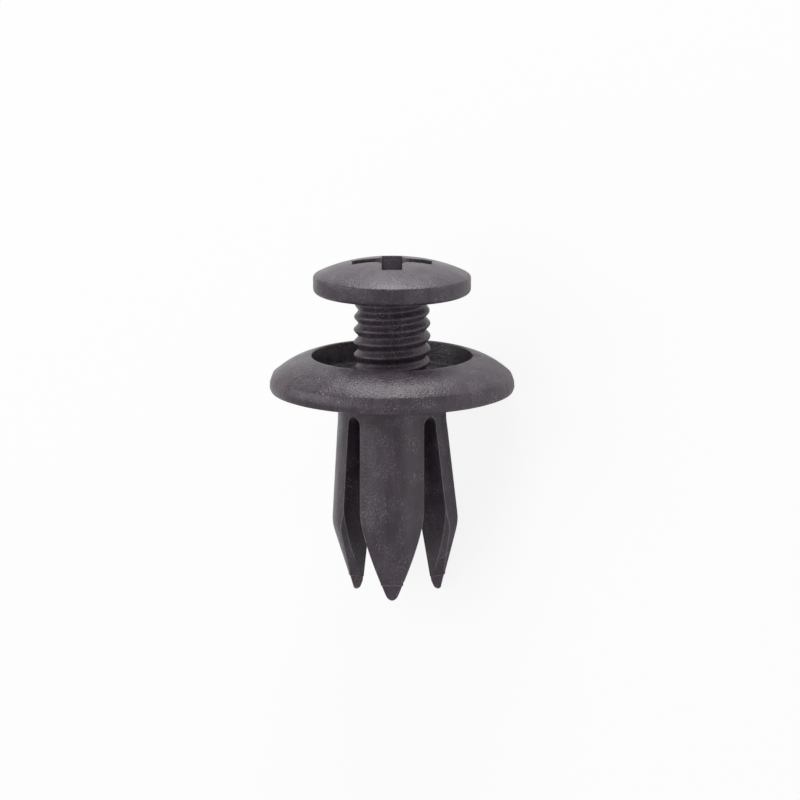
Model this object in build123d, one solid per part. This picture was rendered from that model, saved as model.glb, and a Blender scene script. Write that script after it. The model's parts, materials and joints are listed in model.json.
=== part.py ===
from build123d import *
from math import radians, sqrt, tan
import os

# A push-in retainer clip for panels and liners: a one-piece grommet with a domed flange and
# four pointed split legs, and a threaded pin with a domed, cross-recessed head, drawn out.
# Both pieces are drawn upright about Z, with Z = 0 at the rim's lower edge, +Z to the head and
# the front at -Y. At the end they are laid on the floor together, as the clip comes to rest.

# overall sizes, mm
overall_length = 20.8
leg_length = 12.6
flange_diameter = 15.1
head_diameter = 9.7
neck_diameter = 6.7

# flange
rim_height = 1.02
rim_widest_height = 0.3
rim_foot_inset = 0.35
rim_crease_inset = 0.2
flange_height = 2.29
dome_bulge = 0.16
head_gap = 0.1
recess_floor = 0.8
recess_edge_bevel = 0.1
recess_corner_bevel = 0.15
cup_seat_diameter = 10.6
groove_outer_diameter = 13.8
groove_depth = 0.7
groove_draft = 0.12

# neck, slots and legs
neck_flare = 0.3
slot_width = 1.0
slot_top = 1.2
leg_inner_radius = 1.75
leg_bore_ledge = 0.8
throat_run = 2.6
throat_radius = 1.02
leg_taper_length = 4.65
leg_shoulder_drop = 0.6
leg_shoulder_inset = 0.08
tip_radius = 1.64
tip_half = 0.24
tip_round_height = 0.3
point_length = 5.4
point_start_half = 1.97
point_middle = 2.63
point_middle_half = 1.26
point_end = 0.21
point_end_half = 0.36
hinge_overlap = 0.5
splay_right = 6.6
splay_back = 6.6
splay_left = 3.2
splay_front = 7.2

# pin
thread_gap = 0.05
thread_diameter = 4.8
thread_root_diameter = 4.2
thread_pitch = 0.8
thread_crest_width = 0.18
thread_root_flat = 0.06
thread_sink = 0.1
thread_in_head = 0.3
core_in_head = 1.2
thread_engagement = 0.15
thread_end_gap = 0.15
head_band = 1.05
head_dome = 1.0
head_edge_round = 0.3
head_crease_bevel = 0.1
shank_diameter = 2.4
shank_length = 4.7
shank_point = 1.2
shank_flat_diameter = 1.0

# cross recess of the head
cross_span = 5.1
cross_width = 1.25
cross_depth = 2.5
cross_wing_angle = 26.5
cross_floor_width = 0.85
cross_corner_round = 0.28

flange_radius = flange_diameter / 2
head_radius = head_diameter / 2
neck_radius = neck_diameter / 2
recess_radius = head_radius + head_gap
bore_radius = thread_diameter / 2 + thread_gap
hinge_height = -slot_top - slot_width / 2
head_top = overall_length - leg_length
head_crease = head_top - head_dome
head_bottom = head_crease - head_band
travel = head_bottom - recess_floor
thread_end = recess_floor - thread_engagement
leg_bore_end = travel - thread_end + thread_end_gap
throat_end = leg_bore_end + throat_run


def revolved(outline):
    return revolve(Plane.XZ * make_face(outline), Axis.Z)


def flange():
    """Domed cap with a round recess for the head above and a cored ring below."""
    foot = flange_radius - rim_foot_inset
    crease = flange_radius - rim_crease_inset
    middle = (crease + recess_radius) / 2
    half_rise = (rim_height + flange_height) / 2
    groove_in = cup_seat_diameter / 2
    groove_out = groove_outer_diameter / 2
    edge = recess_edge_bevel
    corner = recess_corner_bevel
    outline = Curve() + [
        Polyline((bore_radius, recess_floor), (bore_radius, 0), (groove_in, 0),
                 (groove_in + groove_draft, groove_depth), (groove_out - groove_draft, groove_depth),
                 (groove_out, 0), (foot, 0), (flange_radius - rim_foot_inset * 0.2, rim_widest_height * 0.42),
                 (flange_radius, rim_widest_height), (crease, rim_height)),
        ThreePointArc((crease, rim_height), (middle + dome_bulge * 0.43, half_rise + dome_bulge * 0.9),
                      (recess_radius + edge, flange_height)),
        Polyline((recess_radius + edge, flange_height), (recess_radius, flange_height - edge),
                 (recess_radius, recess_floor + corner), (recess_radius - corner, recess_floor),
                 (bore_radius, recess_floor)),
    ]
    return revolved(outline)


def neck():
    """Full ring under the flange, with the rounded tops of the four slots cut in its lower edge."""
    ring = Cylinder(neck_radius, -hinge_height, align=(Align.CENTER, Align.CENTER, Align.MAX))
    ring += Cone(neck_radius, neck_radius + neck_flare, neck_flare,
                 align=(Align.CENTER, Align.CENTER, Align.MAX))
    ring -= Cylinder(bore_radius, 3 * -hinge_height)
    for turn in (45, 135):
        slot = Cylinder(slot_width / 2, 3 * neck_diameter, rotation=(90, 0, 0))
        ring -= Rot(0, 0, turn) * Pos(0, 0, hinge_height) * slot
    return ring


def leg(splay):
    """One leg, pointing at +X: a wedge between two slots, thick below the neck, its end an ogive."""
    outline = Polyline(
        (neck_radius, hinge_height + hinge_overlap), (neck_radius, leg_taper_length - leg_length),
        (neck_radius - leg_shoulder_inset, leg_taper_length - leg_shoulder_drop - leg_length),
        (tip_radius + tip_half, tip_round_height - leg_length),
        (tip_radius + tip_half / 2, tip_round_height / 4 - leg_length), (tip_radius, -leg_length),
        (tip_radius - tip_half / 2, tip_round_height / 4 - leg_length),
        (tip_radius - tip_half, tip_round_height - leg_length), (throat_radius, -throat_end),
        (leg_inner_radius, -leg_bore_end), (leg_inner_radius, hinge_height + hinge_overlap), close=True)
    apex = slot_width / sqrt(2)
    wedge = make_face(Polyline((apex, 0), (apex + neck_diameter, neck_diameter),
                               (apex + neck_diameter, -neck_diameter), close=True))
    quarter = extrude(Pos(0, 0, -leg_length - 1) * wedge, amount=leg_length + 2)
    start, middle, end = point_length - leg_length, point_middle - leg_length, point_end - leg_length
    front = Curve() + [
        Polyline((-neck_radius, start), (-neck_radius, 0), (neck_radius, 0), (neck_radius, start),
                 (point_start_half, start)),
        ThreePointArc((point_start_half, start), (point_middle_half, middle), (point_end_half, end)),
        ThreePointArc((point_end_half, end), (0, -leg_length), (-point_end_half, end)),
        ThreePointArc((-point_end_half, end), (-point_middle_half, middle), (-point_start_half, start)),
        Line((-point_start_half, start), (-neck_radius, start)),
    ]
    front = extrude(Plane.YZ * make_face(front), amount=neck_diameter)
    blade = revolved(outline) & quarter & front
    pivot = Pos(bore_radius, 0, hinge_height)
    return pivot * Rot(0, -splay, 0) * pivot.inverse() * blade


def pin():
    """Head, thread, smooth shank and point, drawn out to its full height."""
    crease = head_crease_bevel
    dome = Curve() + [
        Polyline((0, head_bottom), (head_radius, head_bottom), (head_radius, head_crease - crease),
                 (head_radius - crease, head_crease)),
        ThreePointArc((head_radius - crease, head_crease),
                      (head_radius / 2, head_crease + head_dome * 0.76), (0, head_top)),
        Line((0, head_top), (0, head_bottom)),
    ]
    head = revolved(dome)
    rims = head.edges().filter_by(GeomType.CIRCLE).filter_by(
        lambda e: abs(e.radius - head_radius) < 1e-4).sort_by(Axis.Z)
    head = fillet(rims[0], head_edge_round)
    root = thread_root_diameter / 2
    shank = shank_diameter / 2
    shank_end = thread_end - shank_length
    body = revolved(Polyline(
        (0, head_bottom + core_in_head), (root, head_bottom + core_in_head), (root, thread_end),
        (shank, thread_end + shank - root), (shank, shank_end + shank_point),
        (shank_flat_diameter / 2, shank_end), (0, shank_end), close=True))
    return body + thread() + head - cross_recess()


def thread():
    """Right-hand ridge wound on the core, from inside the head down to the smooth shank."""
    root = thread_root_diameter / 2
    ridge_height = (thread_diameter - thread_root_diameter) / 2
    foot = thread_pitch / 2 - thread_root_flat / 2
    start = thread_end + thread_pitch / 2
    helix = Pos(0, 0, start) * Helix(thread_pitch, head_bottom + thread_in_head - start, root)
    across = Plane(origin=helix @ 0, x_dir=(1, 0, 0), z_dir=helix % 0)
    ridge = make_face(Polyline(
        (-thread_sink, -foot), (ridge_height, -thread_crest_width / 2),
        (ridge_height, thread_crest_width / 2), (-thread_sink, foot), close=True))
    return sweep(across * ridge, path=helix, is_frenet=True)


def cross(arm, width, corner, height):
    """Cross-shaped section at a height, with rounded inner corners."""
    arms = Rectangle(2 * arm, width) + Rectangle(width, 2 * arm)
    inner = arms.vertices().sort_by(lambda v: v.X ** 2 + v.Y ** 2)[0:4]
    return Pos(0, 0, height) * fillet(inner, corner)


def cross_recess():
    """Tapered four-winged socket, its wings running in towards a flat floor."""
    above = 0.3
    lean = tan(radians(cross_wing_angle))
    narrowing = (cross_width - cross_floor_width) / cross_depth
    arm = cross_span / 2
    top = cross(arm + above * lean, cross_width + above * narrowing, cross_corner_round, head_top + above)
    low = cross(arm - cross_depth * lean, cross_floor_width, cross_corner_round * 0.5,
                head_top - cross_depth)
    return loft([low, top], ruled=True)


def grommet():
    """The whole moulding: flange, neck and the four splayed legs, bored for the thread."""
    body = flange() + neck()
    for turn, splay in ((0, splay_right), (90, splay_back), (180, splay_left), (270, splay_front)):
        body += Rot(0, 0, turn) * leg(splay)
    bore = Polyline((0, flange_height), (bore_radius, flange_height), (bore_radius, -leg_bore_end),
                    (bore_radius - leg_bore_ledge, -leg_bore_end - leg_bore_ledge),
                    (0, -leg_bore_end - leg_bore_ledge), close=True)
    return body - revolved(bore)


def lying(tilt):
    """Turns the upright clip onto its side: right and back legs down, head end raised by tilt."""
    return Rot(0, 90 - tilt, 0) * Rot(0, 0, -45)


def rest_tilt(rim, lowest_leg):
    """The tilt at which the flange's rim and the legs reach down to the same floor."""
    flat, steep = 5.0, 45.0
    for _ in range(24):
        tilt = (flat + steep) / 2
        pose = lying(tilt)
        if (pose * rim).bounding_box().min.Z < (pose * lowest_leg).bounding_box().min.Z:
            flat = tilt
        else:
            steep = tilt
    return (flat + steep) / 2


tilt = rest_tilt(flange(), leg(splay_right))
upright = {"clip_body": grommet(), "screw_pin": pin()}
laid = {name: lying(tilt) * shape for name, shape in upright.items()}
box = Compound(children=[Part(s.wrapped) for s in laid.values()]).bounding_box()
place = Pos(-(box.min.X + box.max.X) / 2, -(box.min.Y + box.max.Y) / 2, -box.min.Z) * lying(tilt)

os.makedirs("parts", exist_ok=True)
for name, shape in upright.items():
    export_step(place * shape, f"parts/{name}.step")
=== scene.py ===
import bpy
import bmesh
import json
from math import atan2, cos, hypot, pi, radians, sin, tan
from mathutils import Matrix, Vector


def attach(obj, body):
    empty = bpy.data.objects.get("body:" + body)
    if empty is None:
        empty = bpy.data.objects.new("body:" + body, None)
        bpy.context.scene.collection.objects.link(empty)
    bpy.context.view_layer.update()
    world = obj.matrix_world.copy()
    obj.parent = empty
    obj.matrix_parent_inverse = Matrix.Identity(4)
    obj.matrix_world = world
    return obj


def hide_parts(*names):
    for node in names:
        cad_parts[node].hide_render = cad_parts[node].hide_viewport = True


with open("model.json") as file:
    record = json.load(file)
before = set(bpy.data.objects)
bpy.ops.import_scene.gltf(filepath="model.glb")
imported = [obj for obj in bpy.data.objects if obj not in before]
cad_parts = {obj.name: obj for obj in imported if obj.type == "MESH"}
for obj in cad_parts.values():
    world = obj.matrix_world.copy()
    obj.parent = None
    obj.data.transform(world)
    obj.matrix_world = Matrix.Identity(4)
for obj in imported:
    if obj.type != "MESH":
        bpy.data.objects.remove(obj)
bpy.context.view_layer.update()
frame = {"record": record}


# Grommet: one black nylon moulding. A domed flange with a round recess for the pin's head, a cored
# ring below it, a short neck and four pointed legs between slots. The legs spring outwards, each by
# its own few degrees, and a thin parting line crosses them just above their points.
flange_r, flange_top, rim_crease_r, rim_top, rim_foot_r = 7.55, 2.29, 7.38, 1.02, 7.2
recess_r, recess_floor = 4.95, 0.8
neck_r, bore_r, leg_in, leg_end = 3.35, 2.38, 1.75, 12.6
slot_width, slot_top, slot_depth = 1.0, 1.2, 14
head_top = 8.2
merge = 0.002

# The clip lies on its side, on the flange's rim and two of its legs. Every piece is drawn upright in
# millimetres, with Z = 0 at the rim's lower edge and the front leg at -Y, and is then laid down, by
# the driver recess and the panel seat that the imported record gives.
mounts = {mount["name"]: mount for mount in frame["record"]["mounts"]}
clip_up = Vector(mounts["driver_recess"]["axis"]).normalized()
clip_base = Vector(mounts["driver_recess"]["pos_m"]) - clip_up * head_top * 0.001
clip_right = Vector(mounts["panel_seat"]["pos_m"]) - clip_base
clip_right = (clip_right - clip_up * clip_right.dot(clip_up)).normalized()
clip_back = clip_up.cross(clip_right)
laid = Matrix((clip_right, clip_back, clip_up)).transposed().to_4x4()
laid.translation = clip_base
laid = laid @ Matrix.Scale(0.001, 4)


def arc_points(start, end, bulge, count):
    """Points of a shallow arc between two profile points, bulging to the left of its run."""
    run = Vector(end) - Vector(start)
    side = Vector((-run.y, run.x)).normalized()
    steps = [i / count for i in range(1, count)]
    return [tuple(Vector(start) + run * t + side * bulge * 4 * t * (1 - t)) for t in steps]


def spun(profile, steps, closed=True):
    """A body of revolution from (radius, height) points, whose outline is closed or meets the axis."""
    bm = bmesh.new()
    points = [bm.verts.new((r, 0, z)) for r, z in profile]
    following = points[1:] + points[:1] if closed else points[1:]
    line = [bm.edges.new(pair) for pair in zip(points, following)]
    bmesh.ops.spin(bm, geom=points + line, cent=(0, 0, 0), axis=(0, 0, 1), angle=2 * pi,
                   steps=steps, use_merge=True)
    bmesh.ops.remove_doubles(bm, verts=bm.verts, dist=1e-4)
    bmesh.ops.dissolve_degenerate(bm, edges=bm.edges, dist=1e-4)
    bmesh.ops.recalc_face_normals(bm, faces=bm.faces)
    return bm


def bevelled(bm, edges, size, segments, clamped=False):
    """Rounds edges by a size in millimetres and returns what the bevel made."""
    return bmesh.ops.bevel(bm, geom=edges, offset=size, offset_type="OFFSET", segments=segments,
                           profile=0.5, affect="EDGES", material=-1, clamp_overlap=clamped)


def round_circles(bm, rounds):
    """Rounds the circular edges of a spun body, each given by radius, height, size and segments."""
    for radius, height, size, segments in rounds:
        circle = [e for e in bm.edges if all(
            abs(hypot(v.co.x, v.co.y) - radius) < 1e-3 and abs(v.co.z - height) < 1e-3 for v in e.verts)]
        bevelled(bm, circle, size, segments, clamped=True)


def cross_cut(bm, point, normal, reach):
    """Lays a loop of new edges round a solid, where a plane crosses it."""
    bmesh.ops.bisect_plane(bm, geom=list(bm.verts) + list(bm.edges) + list(bm.faces), dist=reach,
                           plane_co=point, plane_no=normal)


def sharp_edges(bm, low, high):
    """Edges between two heights where faces meet at a clear angle."""
    return [e for e in bm.edges if e.is_manifold and e.calc_face_angle(0) > radians(35)
            and min(v.co.z for v in e.verts) > low and max(v.co.z for v in e.verts) < high]


def as_object(bm, name):
    """Makes a bmesh an object of its own, and frees it."""
    mesh = bpy.data.meshes.new(name)
    bm.to_mesh(mesh)
    bm.free()
    thing = bpy.data.objects.new(name, mesh)
    bpy.context.scene.collection.objects.link(thing)
    return thing


def cut_away(bm, cutter):
    """Takes one solid out of another. Both are used up, and the result is a new bmesh."""
    solid, tool = as_object(bm, "solid"), as_object(cutter, "tool")
    change = solid.modifiers.new("cut", "BOOLEAN")
    change.operation, change.solver, change.object = "DIFFERENCE", "EXACT", tool
    graph = bpy.context.evaluated_depsgraph_get()
    result = bmesh.new()
    result.from_mesh(solid.evaluated_get(graph).to_mesh())
    for old in (solid, tool):
        mesh = old.data
        bpy.data.objects.remove(old)
        bpy.data.meshes.remove(mesh)
    bmesh.ops.remove_doubles(result, verts=result.verts, dist=merge)
    return result


def finished(bm, name, body, node, material):
    """Lays an upright piece down where the clip lies, gives it its body and finish, and hides the CAD node
    that it replaces.
    """
    bmesh.ops.transform(bm, matrix=laid, verts=bm.verts)
    bmesh.ops.recalc_face_normals(bm, faces=bm.faces)
    thing = as_object(bm, name)
    for face in thing.data.polygons:
        face.use_smooth = True
    thing.data.set_sharp_from_angle(angle=radians(32))
    even = thing.modifiers.new("even_shading", "WEIGHTED_NORMAL")
    even.keep_sharp = True
    thing.data.materials.append(material)
    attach(thing, body)
    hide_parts(node)
    return thing


moulded_skin = bpy.data.node_groups.new("moulded_skin", "ShaderNodeTree")
for name, kind, way in (("Place", "NodeSocketVector", "INPUT"), ("Base", "NodeSocketColor", "INPUT"),
                        ("Scuffs", "NodeSocketFloat", "INPUT"), ("EdgeHighlightPaint", "NodeSocketFloat", "INPUT"),
                        ("Colour", "NodeSocketColor", "OUTPUT"),
                        ("Roughness", "NodeSocketFloat", "OUTPUT"), ("Normal", "NodeSocketVector", "OUTPUT")):
    moulded_skin.interface.new_socket(name=name, in_out=way, socket_type=kind)
skin_nodes, skin_links = moulded_skin.nodes, moulded_skin.links
inlet, outlet = skin_nodes.new("NodeGroupInput"), skin_nodes.new("NodeGroupOutput")


def noise(scale, detail, roughness, place):
    """Soft noise over the surface, finer as its scale goes up."""
    texture = skin_nodes.new("ShaderNodeTexNoise")
    texture.inputs["Scale"].default_value = scale
    texture.inputs["Detail"].default_value = detail
    texture.inputs["Roughness"].default_value = roughness
    skin_links.new(place, texture.inputs["Vector"])
    return texture.outputs["Fac"]


def spread(source, low, high, to_low, to_high):
    """Stretches a narrow range of a value over another range, and holds it there at both ends."""
    ramp = skin_nodes.new("ShaderNodeMapRange")
    ramp.inputs["From Min"].default_value = low
    ramp.inputs["From Max"].default_value = high
    ramp.inputs["To Min"].default_value = to_low
    ramp.inputs["To Max"].default_value = to_high
    skin_links.new(source, ramp.inputs["Value"])
    return ramp.outputs["Result"]


def combined(operation, first, second):
    """Makes one value over the surface of two."""
    step = skin_nodes.new("ShaderNodeMath")
    step.operation = operation
    skin_links.new(first, step.inputs[0])
    skin_links.new(second, step.inputs[1])
    return step.outputs["Value"]


def relief(height, strength, distance, under=None):
    """Adds fine relief to the surface, on top of the relief under it."""
    bump = skin_nodes.new("ShaderNodeBump")
    bump.inputs["Strength"].default_value = strength
    bump.inputs["Distance"].default_value = distance
    skin_links.new(height, bump.inputs["Height"])
    if under:
        skin_links.new(under, bump.inputs["Normal"])
    return bump.outputs["Normal"]


# The mould's draw leaves faint lines along the clip, so their noise is turned to it and drawn out.
along = skin_nodes.new("ShaderNodeMapping")
along.vector_type = "TEXTURE"
along.inputs["Rotation"].default_value = laid.to_euler()
along.inputs["Scale"].default_value = (1, 1, 14)
skin_links.new(inlet.outputs["Place"], along.inputs["Vector"])
mottle = noise(700, 3, 0.6, inlet.outputs["Place"])
grain = noise(7000, 2, 0.6, inlet.outputs["Place"])
scuff_and_highlight_noise = noise(2600, 4, 0.75, inlet.outputs["Place"])
speck = noise(14000, 2, 0.6, inlet.outputs["Place"])
patch = noise(900, 2, 0.5, inlet.outputs["Place"])
draw = noise(1500, 3, 0.65, along.outputs["Vector"])

# Colour: a black that varies a little, under patches of pale specks and pale edges. The specks are painted
# glints of the grain, and the pale edges are a painted highlight.
shade = combined("MULTIPLY", spread(mottle, 0.3, 0.7, 0.86, 1.14), spread(draw, 0.35, 0.65, 0.72, 1.30))
colour = skin_nodes.new("ShaderNodeVectorMath")
colour.operation = "SCALE"
skin_links.new(inlet.outputs["Base"], colour.inputs[0])
skin_links.new(shade, colour.inputs["Scale"])
# Pale specks in patches: painted glints of the grain.
painted_glint_specks = combined("MULTIPLY", spread(speck, 0.55, 0.70, 0.0, 1.0), spread(patch, 0.44, 0.62, 0.0, 1.0))
# Pale edges where the mesh marks them, varied by noise: a painted edge highlight.
edge_highlight_mask = combined("MULTIPLY", inlet.outputs["EdgeHighlightPaint"], spread(scuff_and_highlight_noise, 0.40, 0.62, 0.5, 1.0))
# The pale colour below carries both the painted glints and the painted edge highlight.
with_painted_light = skin_nodes.new("ShaderNodeMix")
with_painted_light.data_type = "RGBA"
with_painted_light.inputs["B"].default_value = (0.24, 0.22, 0.24, 1)
skin_links.new(combined("MAXIMUM", painted_glint_specks, edge_highlight_mask), with_painted_light.inputs["Factor"])
skin_links.new(colour.outputs["Vector"], with_painted_light.inputs["A"])
skin_links.new(with_painted_light.outputs["Result"], outlet.inputs["Colour"])

# Gloss and relief: semi-gloss with duller scuffs, over fine grain, slow ripples and the draw lines.
dull_spots = combined("MULTIPLY", spread(scuff_and_highlight_noise, 0.62, 0.72, 0.0, 0.22), inlet.outputs["Scuffs"])
roughness = combined("ADD", spread(mottle, 0.3, 0.7, 0.28, 0.40), dull_spots)
skin_links.new(roughness, outlet.inputs["Roughness"])
grained = relief(grain, 0.6, 0.00006)
rippled = relief(mottle, 0.3, 0.00006, grained)
skin_links.new(relief(draw, 0.35, 0.00003, rippled), outlet.inputs["Normal"])


def nylon(name, scuffs):
    """Black moulded nylon, with a share of scuffs. Edges marked for it get a painted highlight, in a paler
    colour.
    """
    material = bpy.data.materials.new(name)
    material.use_nodes = True
    tree = material.node_tree
    shader = tree.nodes["Principled BSDF"]
    place = tree.nodes.new("ShaderNodeTexCoord")
    # The mesh's mark for where the painted edge highlight goes.
    edges = tree.nodes.new("ShaderNodeAttribute")
    edges.attribute_name = "painted_edge_light"
    skin = tree.nodes.new("ShaderNodeGroup")
    skin.node_tree = moulded_skin
    skin.inputs["Base"].default_value = (0.048, 0.034, 0.048, 1)
    skin.inputs["Scuffs"].default_value = scuffs
    tree.links.new(edges.outputs["Fac"], skin.inputs["EdgeHighlightPaint"])
    tree.links.new(place.outputs["Object"], skin.inputs["Place"])
    tree.links.new(skin.outputs["Colour"], shader.inputs["Base Color"])
    tree.links.new(skin.outputs["Roughness"], shader.inputs["Roughness"])
    tree.links.new(skin.outputs["Normal"], shader.inputs["Normal"])
    shader.inputs["Specular IOR Level"].default_value = 0.5
    shader.inputs["IOR"].default_value = 1.53
    return material


# The whole moulding is spun as one ring, with the legs as a wall under the neck. Rows of points
# below the neck let the legs bend there.
bend_rows = (-1.25, -1.5, -1.75, -2.0, -2.25, -2.6, -3.0)
recess_wall = [(recess_r, recess_floor), (recess_r, flange_top)]
dome = arc_points((recess_r, flange_top), (rim_crease_r, rim_top), 0.19, 10)
rim = [(rim_crease_r, rim_top), (7.53, 0.6), (flange_r, 0.3), (7.47, 0.1), (rim_foot_r, 0)]
cored_ring = [(6.9, 0), (6.78, 0.7), (5.42, 0.7), (5.3, 0), (3.65, 0)]
neck_flare = [(neck_r + 0.3 * (1 - cos(t)), -0.3 * (1 - sin(t))) for t in (1.2, 0.8, 0.4)]
outer_wall = [(neck_r, z) for z in (-0.3, -1.0, *bend_rows, -7.8)]
point_outside = [(3.34, -8.15), (3.3, -8.42), (3.23, -8.68), (3.12, -9.0), (1.88, -12.3),
                 (1.85, -12.4), (1.77, -12.52), (1.64, -leg_end)]
point_inside = [(1.51, -12.52), (1.43, -12.4), (1.4, -12.3), (1.3, -11.5), (1.02, -7.45), (leg_in, -4.85)]
inner_wall = [(leg_in, z) for z in (*reversed(bend_rows), -1.0, 0.0, recess_floor)]
grommet = spun(recess_wall + dome + rim + cored_ring + neck_flare + outer_wall + point_outside
               + point_inside + inner_wall, 144)
round_circles(grommet, ((recess_r, flange_top, 0.14, 3), (recess_r, recess_floor, 0.2, 3),
                        (rim_crease_r, rim_top, 0.07, 2), (rim_foot_r, 0, 0.06, 2)))

# A small nick in the recess's right edge, and a crease round the rim that wavers a little.
nick, nick_reach, nick_drop, nick_push = Vector((recess_r + 0.05, -0.15, 2.25)), 0.5, 0.22, 0.1
wave_reach, wave_height = 0.4, 0.02
for v in grommet.verts:
    near = max(1 - (v.co - nick).length / nick_reach, 0)
    v.co.z -= nick_drop * near
    v.co.x += nick_push * near
    angle = atan2(v.co.y, v.co.x)
    off_crease = hypot(hypot(v.co.x, v.co.y) - rim_crease_r, v.co.z - rim_top)
    share = max(1 - off_crease / wave_reach, 0)
    v.co.z += share * wave_height * (sin(7 * angle) + sin(17 * angle + 1) + 0.7 * sin(31 * angle + 2))

# Two slots with rounded tops part the wall into legs. On the wall's inner side, in the upper part
# of the legs, a slot is half as wide.
for turn in (45, 135):
    slot = bmesh.new()
    made = bmesh.ops.create_cube(slot, size=1)["verts"]
    bmesh.ops.scale(slot, vec=(30, slot_width, slot_depth), verts=made)
    bmesh.ops.translate(slot, vec=(0, 0, -slot_top - slot_depth / 2), verts=made)
    top = [e for e in slot.edges if all(v.co.z > -slot_top - 0.1 for v in e.verts)
           and abs(e.verts[0].co.x - e.verts[1].co.x) > 1]
    bevelled(slot, top, slot_width / 2 - 0.01, 8)
    for reach in (-3.15, -2.45, 2.45, 3.15):
        cross_cut(slot, (reach, 0, 0), (1, 0, 0), 1e-4)
    for level in (-4.6, -6.0):
        cross_cut(slot, (0, 0, level), (0, 0, 1), 1e-4)
    for v in slot.verts:
        v.co.y *= 0.5 if abs(v.co.x) < 2.6 and v.co.z > -5 else 1
    bmesh.ops.rotate(slot, cent=(0, 0, 0), matrix=Matrix.Rotation(radians(turn), 3, "Z"), verts=slot.verts)
    grommet = cut_away(grommet, slot)
bmesh.ops.dissolve_degenerate(grommet, edges=grommet.edges, dist=merge)
for height in (*bend_rows, -4.85, -7.0):
    cross_cut(grommet, (0, 0, height), (0, 0, 1), 1e-3)


def sideways(outward):
    """The direction across a leg that points outward."""
    return Vector((-outward.y, outward.x, 0))


def own_verts(bm, outward, low):
    """Vertices of the leg that points outward, below a height."""
    across = sideways(outward)
    return [v for v in bm.verts if v.co.z < low and v.co.dot(outward) > abs(v.co.dot(across)) - 1e-4]


def cut_leg(bm, outward, plane_point, plane_normal, trim):
    """Crosses one leg with a plane. Trimmed, it loses what lies outside, and the cut is closed."""
    leg = own_verts(bm, outward, -2.99)
    inside = set(leg)
    faces = [f for f in bm.faces if all(v in inside for v in f.verts)]
    edges = list(dict.fromkeys(e for f in faces for e in f.edges))
    cut = bmesh.ops.bisect_plane(bm, geom=leg + edges + faces, dist=1e-5, clear_outer=trim,
                                 plane_co=plane_point, plane_no=plane_normal)
    if trim:
        open_rim = [e for e in cut["geom_cut"] if isinstance(e, bmesh.types.BMEdge)]
        bmesh.ops.holes_fill(bm, edges=open_rim, sides=0)


# Seen from outside, a leg ends in an ogive: here its half widths, at heights above its tip.
ogive = [(1.97, 5.4), (1.9, 4.95), (1.8, 4.48), (1.69, 4.02), (1.53, 3.45), (1.36, 2.9), (1.17, 2.35),
         (0.97, 1.8), (0.76, 1.25), (0.57, 0.75), (0.44, 0.42), (0.33, 0.2), (0.19, 0.07), (0.0, 0.0)]
tip_r, parting_step = 1.64, 0.03
hinge_r, hinge_z, bend_top, bend_run = 2.45, -1.7, -1.1, 1.3
# Each vertex's mark for the painted edge highlight.
painted_edge_light = grommet.verts.layers.float.new("painted_edge_light")
for turn, splay in {0: 6.6, 90: 6.6, 180: 3.2, 270: 7.2}.items():
    outward = Vector((cos(radians(turn)), sin(radians(turn)), 0))
    across = sideways(outward)
    for side in (1, -1):
        for (wide, high), (narrow, low) in zip(ogive, ogive[1:]):
            slope = across * side * (high - low) - Vector((0, 0, wide - narrow))
            cut_leg(grommet, outward, across * side * wide + Vector((0, 0, high - leg_end)), slope, True)
    # The parting line: the tip below it is a hair thinner, and the edge above it stands proud and is marked
    # for a painted highlight.
    for height in (1.04, 1.0, 0.96):
        cut_leg(grommet, outward, Vector((0, 0, height - leg_end)), Vector((0, 0, 1)), False)
    for v in own_verts(grommet, outward, 1.02 - leg_end):
        out = Vector((v.co.x, v.co.y, 0)) - outward * tip_r
        below = v.co.z < 0.98 - leg_end
        if out.length > 0.1:
            v.co += out.normalized() * (-parting_step if below else parting_step)
            v[painted_edge_light] = 0 if below else 1
    # The leg bends outwards just below the neck, and is straight from there down.
    pivot = outward * hinge_r + Vector((0, 0, hinge_z))
    for v in own_verts(grommet, outward, bend_top):
        share = min(max((bend_top - v.co.z) / bend_run, 0), 1)
        v.co = pivot + Matrix.Rotation(-radians(splay) * share, 3, across) @ (v.co - pivot)

# The bore for the pin's thread, which narrows where the pin ends. Then the legs' edges are rounded, and the
# rounded strips are marked for a painted highlight.
bore = spun([(0.001, 3), (bore_r, 3), (bore_r, -4.0), (bore_r - 0.26, -4.84), (1.6, -5.65),
             (0.001, -5.65)], 96)
grommet = cut_away(grommet, bore)
painted_edge_light = grommet.verts.layers.float["painted_edge_light"]
leg_edges = [e for e in sharp_edges(grommet, -11.5, -1.0) if max(v.co.xy.length for v in e.verts) > 2.5]
rounded = bevelled(grommet, leg_edges, 0.055, 2)
strip = set(rounded["faces"])
# Vertices inside the rounded strips get the painted edge highlight.
for v in rounded["verts"]:
    if all(face in strip for face in v.link_faces):
        v[painted_edge_light] = 1
bmesh.ops.remove_doubles(grommet, verts=grommet.verts, dist=merge)
finished(grommet, "grommet", "grommet", "clip_body", nylon("body_nylon", 1.0))


# Screw pin: a second nylon moulding, drawn out of the grommet. A domed head with a cross recess, a
# coarse right-hand thread with rounded ridges, and below it, inside the grommet, a smooth shank.
head_r, head_low, head_crease = 4.85, 6.15, 7.2
thread_end, core_r, crest_r, pitch = 0.65, 2.1, 2.37, 0.8
shank_r, shank_flat_r, shank_end = 1.2, 0.5, thread_end - 4.7
dome = [(head_r * i / 15, head_crease + (head_top - head_crease) * (1 - (i / 15) ** 2.5))
        for i in range(15)]
pin = spun(dome + [(head_r, head_crease), (head_r, head_low), (core_r, head_low), (core_r, thread_end),
                   (shank_r, thread_end - 0.9), (shank_r, thread_end - 3.5), (shank_flat_r, shank_end),
                   (0.0, shank_end)], 128, closed=False)
round_circles(pin, ((head_r, head_crease, 0.1, 3), (head_r, head_low, 0.3, 5)))

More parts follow.
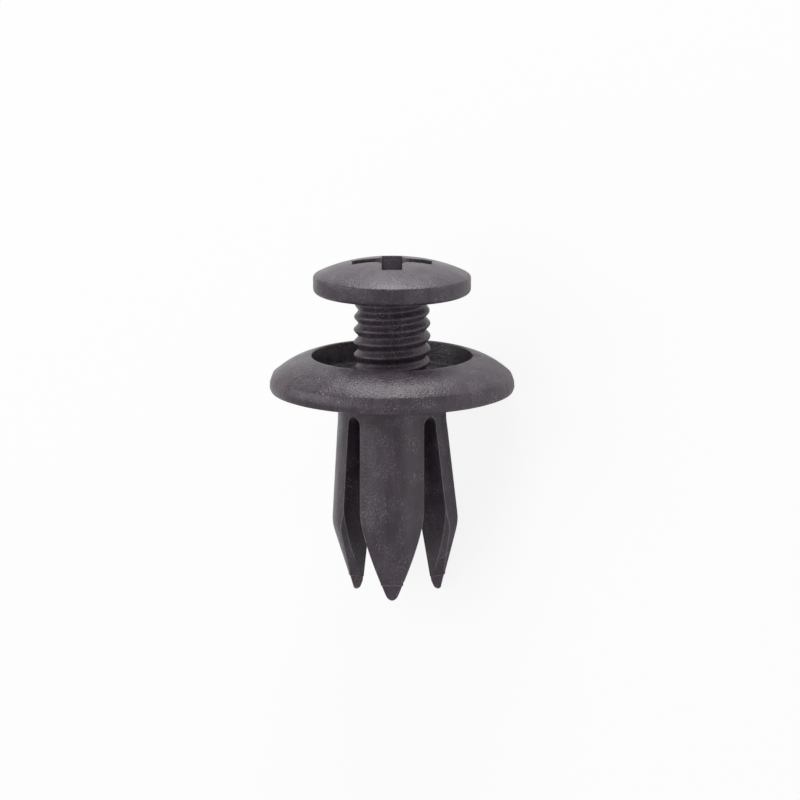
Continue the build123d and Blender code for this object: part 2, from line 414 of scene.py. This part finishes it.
# The cross recess: four wings that run in towards its floor, with well rounded inner corners.
wing, width, depth, over = 2.55, 1.25, 2.5, 0.4
lean, narrowing, corner_round = tan(radians(26.5)), 0.16, 0.5
socket = bmesh.new()
outline = []
for quarter in range(4):
    turn = Matrix.Rotation(quarter * pi / 2, 3, "Z")
    half = width / 2
    outline += [turn @ Vector(p) for p in ((wing, -half, 0), (wing, half, 0), (half, half, 0))]
corners = [socket.verts.new(p) for p in outline]
socket.faces.new(corners)
bmesh.ops.bevel(socket, geom=[v for v in corners if hypot(v.co.x, v.co.y) < 1], offset=corner_round,
                offset_type="OFFSET", segments=5, profile=0.5, affect="VERTICES", material=-1)
down = bmesh.ops.extrude_face_region(socket, geom=list(socket.faces))["geom"]
low = [v for v in down if isinstance(v, bmesh.types.BMVert)]
for v in socket.verts:
    rise = -depth if v in low else over
    reach, side = (wing + rise * lean) / wing, (width + rise * narrowing) / width
    wing_end = hypot(v.co.x, v.co.y) > 1.5
    v.co.x *= reach if wing_end and abs(v.co.x) > 1 else side
    v.co.y *= reach if wing_end and abs(v.co.y) > 1 else side
    v.co.z = head_top + rise
bmesh.ops.recalc_face_normals(socket, faces=socket.faces)
pin = cut_away(pin, socket)
bevelled(pin, sharp_edges(pin, 7.5, head_top + 1), 0.06, 2)

# The thread: a rounded section wound up the core. Its ridges are lower near the head, and the last
# turn runs out into the core.
ridge = bmesh.new()
steps_per_turn, sunk, low_ridge, growing_turns, runout_sink = 72, 0.12, 0.6, 2.6, 0.02
start = thread_end + pitch / 2
steps = int((head_low + 0.3 - thread_end - pitch / 2) / pitch * steps_per_turn)
half = pitch / 2 - 0.01
slopes = [(core_r + (crest_r - core_r) * (0.5 + 0.5 * cos(t)) ** 0.9, half * t / pi)
          for t in (-2.9, -2.4, -1.9, -1.4, -0.9, -0.45, 0.0, 0.45, 0.9, 1.4, 1.9, 2.4, 2.9)]
section = [(core_r - sunk, -half)] + slopes + [(core_r - sunk, half)]
points = [ridge.verts.new((r, 0, start + z)) for r, z in section]
face = ridge.faces.new(points)
bmesh.ops.spin(ridge, geom=points + list(face.edges) + [face], cent=(0, 0, 0), axis=(0, 0, 1),
               dvec=(0, 0, pitch / steps_per_turn), angle=2 * pi / steps_per_turn * steps, steps=steps,
               use_merge=False)
for v in ridge.verts:
    radius = hypot(v.co.x, v.co.y)
    if radius > core_r:
        below_head = (head_low - v.co.z) / pitch
        height = low_ridge + (1 - low_ridge) * min(max(below_head / growing_turns, 0), 1)
        runout = min(max((v.co.z - thread_end) / pitch, 0), 1)
        wanted = core_r + (radius - core_r) * height * runout - runout_sink * (1 - runout)
        v.co.x *= wanted / radius
        v.co.y *= wanted / radius
bmesh.ops.recalc_face_normals(ridge, faces=ridge.faces)
wound = bpy.data.meshes.new("wound")
ridge.to_mesh(wound)
ridge.free()
pin.from_mesh(wound)
bpy.data.meshes.remove(wound)
finished(pin, "pin", "pin", "screw_pin", nylon("pin_nylon", 0.8))


# Floor: a wide sheet of white card under the clip, at the height that the clip rests on. It takes
# the clip's shadow and otherwise shows as plain white.
card_glow = 0.88
floor_mesh = bmesh.new()
bmesh.ops.create_grid(floor_mesh, x_segments=1, y_segments=1, size=1.5)
floor = as_object(floor_mesh, "floor")
card = bpy.data.materials.new("white_card")
card.use_nodes = True
nodes, links = card.node_tree.nodes, card.node_tree.links
paper = nodes["Principled BSDF"]
paper.inputs["Base Color"].default_value = (0.9, 0.9, 0.9, 1)
paper.inputs["Roughness"].default_value = 0.9
paper.inputs["Specular IOR Level"].default_value = 0.1
glow, seen = nodes.new("ShaderNodeEmission"), nodes.new("ShaderNodeLightPath")
mix, share = nodes.new("ShaderNodeMixShader"), nodes.new("ShaderNodeMath")
share.operation = "MULTIPLY"
share.inputs[1].default_value = card_glow
links.new(seen.outputs["Is Camera Ray"], share.inputs[0])
links.new(share.outputs["Value"], mix.inputs["Fac"])
links.new(paper.outputs["BSDF"], mix.inputs[1])
links.new(glow.outputs["Emission"], mix.inputs[2])
links.new(mix.outputs["Shader"], nodes["Material Output"].inputs["Surface"])
floor.data.materials.append(card)


# Light: a pale room all round, a soft box over the head, one to the clip's left, and two narrow
# strips in front of the clip that draw the light streaks along the front leg.
def soft_box(name, place, size, strength):
    """A soft box at a place on the upright clip's own axes, in millimetres, aimed at its middle."""
    lamp = bpy.data.lights.new(name, "AREA")
    lamp.shape, lamp.size, lamp.size_y, lamp.energy = "RECTANGLE", size[0], size[1], strength
    box = bpy.data.objects.new(name, lamp)
    bpy.context.scene.collection.objects.link(box)
    box.location = laid @ Vector(place)
    box.rotation_euler = (laid @ Vector((0, 0, -1)) - box.location).to_track_quat("-Z", "Y").to_euler()


soft_box("box_head", (0, 60, 285), (0.2, 0.2), 0.7)
soft_box("box_left", (-270, -60, 90), (0.12, 0.3), 0.25)
soft_box("strip_left", (-185, -200, 5), (0.2, 0.05), 0.06)
soft_box("strip_right", (150, -215, 5), (0.2, 0.05), 0.05)
room = bpy.data.worlds.new("room")
bpy.context.scene.world = room
room.use_nodes = True
room.node_tree.nodes["Background"].inputs["Color"].default_value = (1, 1, 1, 1)
room.node_tree.nodes["Background"].inputs["Strength"].default_value = 0.5


# Camera: a long lens a little above the flange's plane, square to the front leg.
elevation, distance = radians(12), 250
aim_right, aim_up = 0.49, -0.6
aim = laid @ Vector((aim_right, 0, aim_up))
away = laid @ Vector((aim_right, -distance * cos(elevation), aim_up + distance * sin(elevation)))
lens = bpy.data.cameras.new("camera")
lens.lens, lens.sensor_width = 182.2, 36
lens.clip_start, lens.clip_end = 0.01, 10
camera = bpy.data.objects.new("camera", lens)
bpy.context.scene.collection.objects.link(camera)
back = (away - aim).normalized()
right = clip_up.cross(back).normalized()
facing = Matrix((right, back.cross(right), back)).transposed().to_4x4()
facing.translation = away
camera.matrix_world = facing
bpy.context.scene.camera = camera
bpy.context.scene.view_settings.view_transform = "Standard"
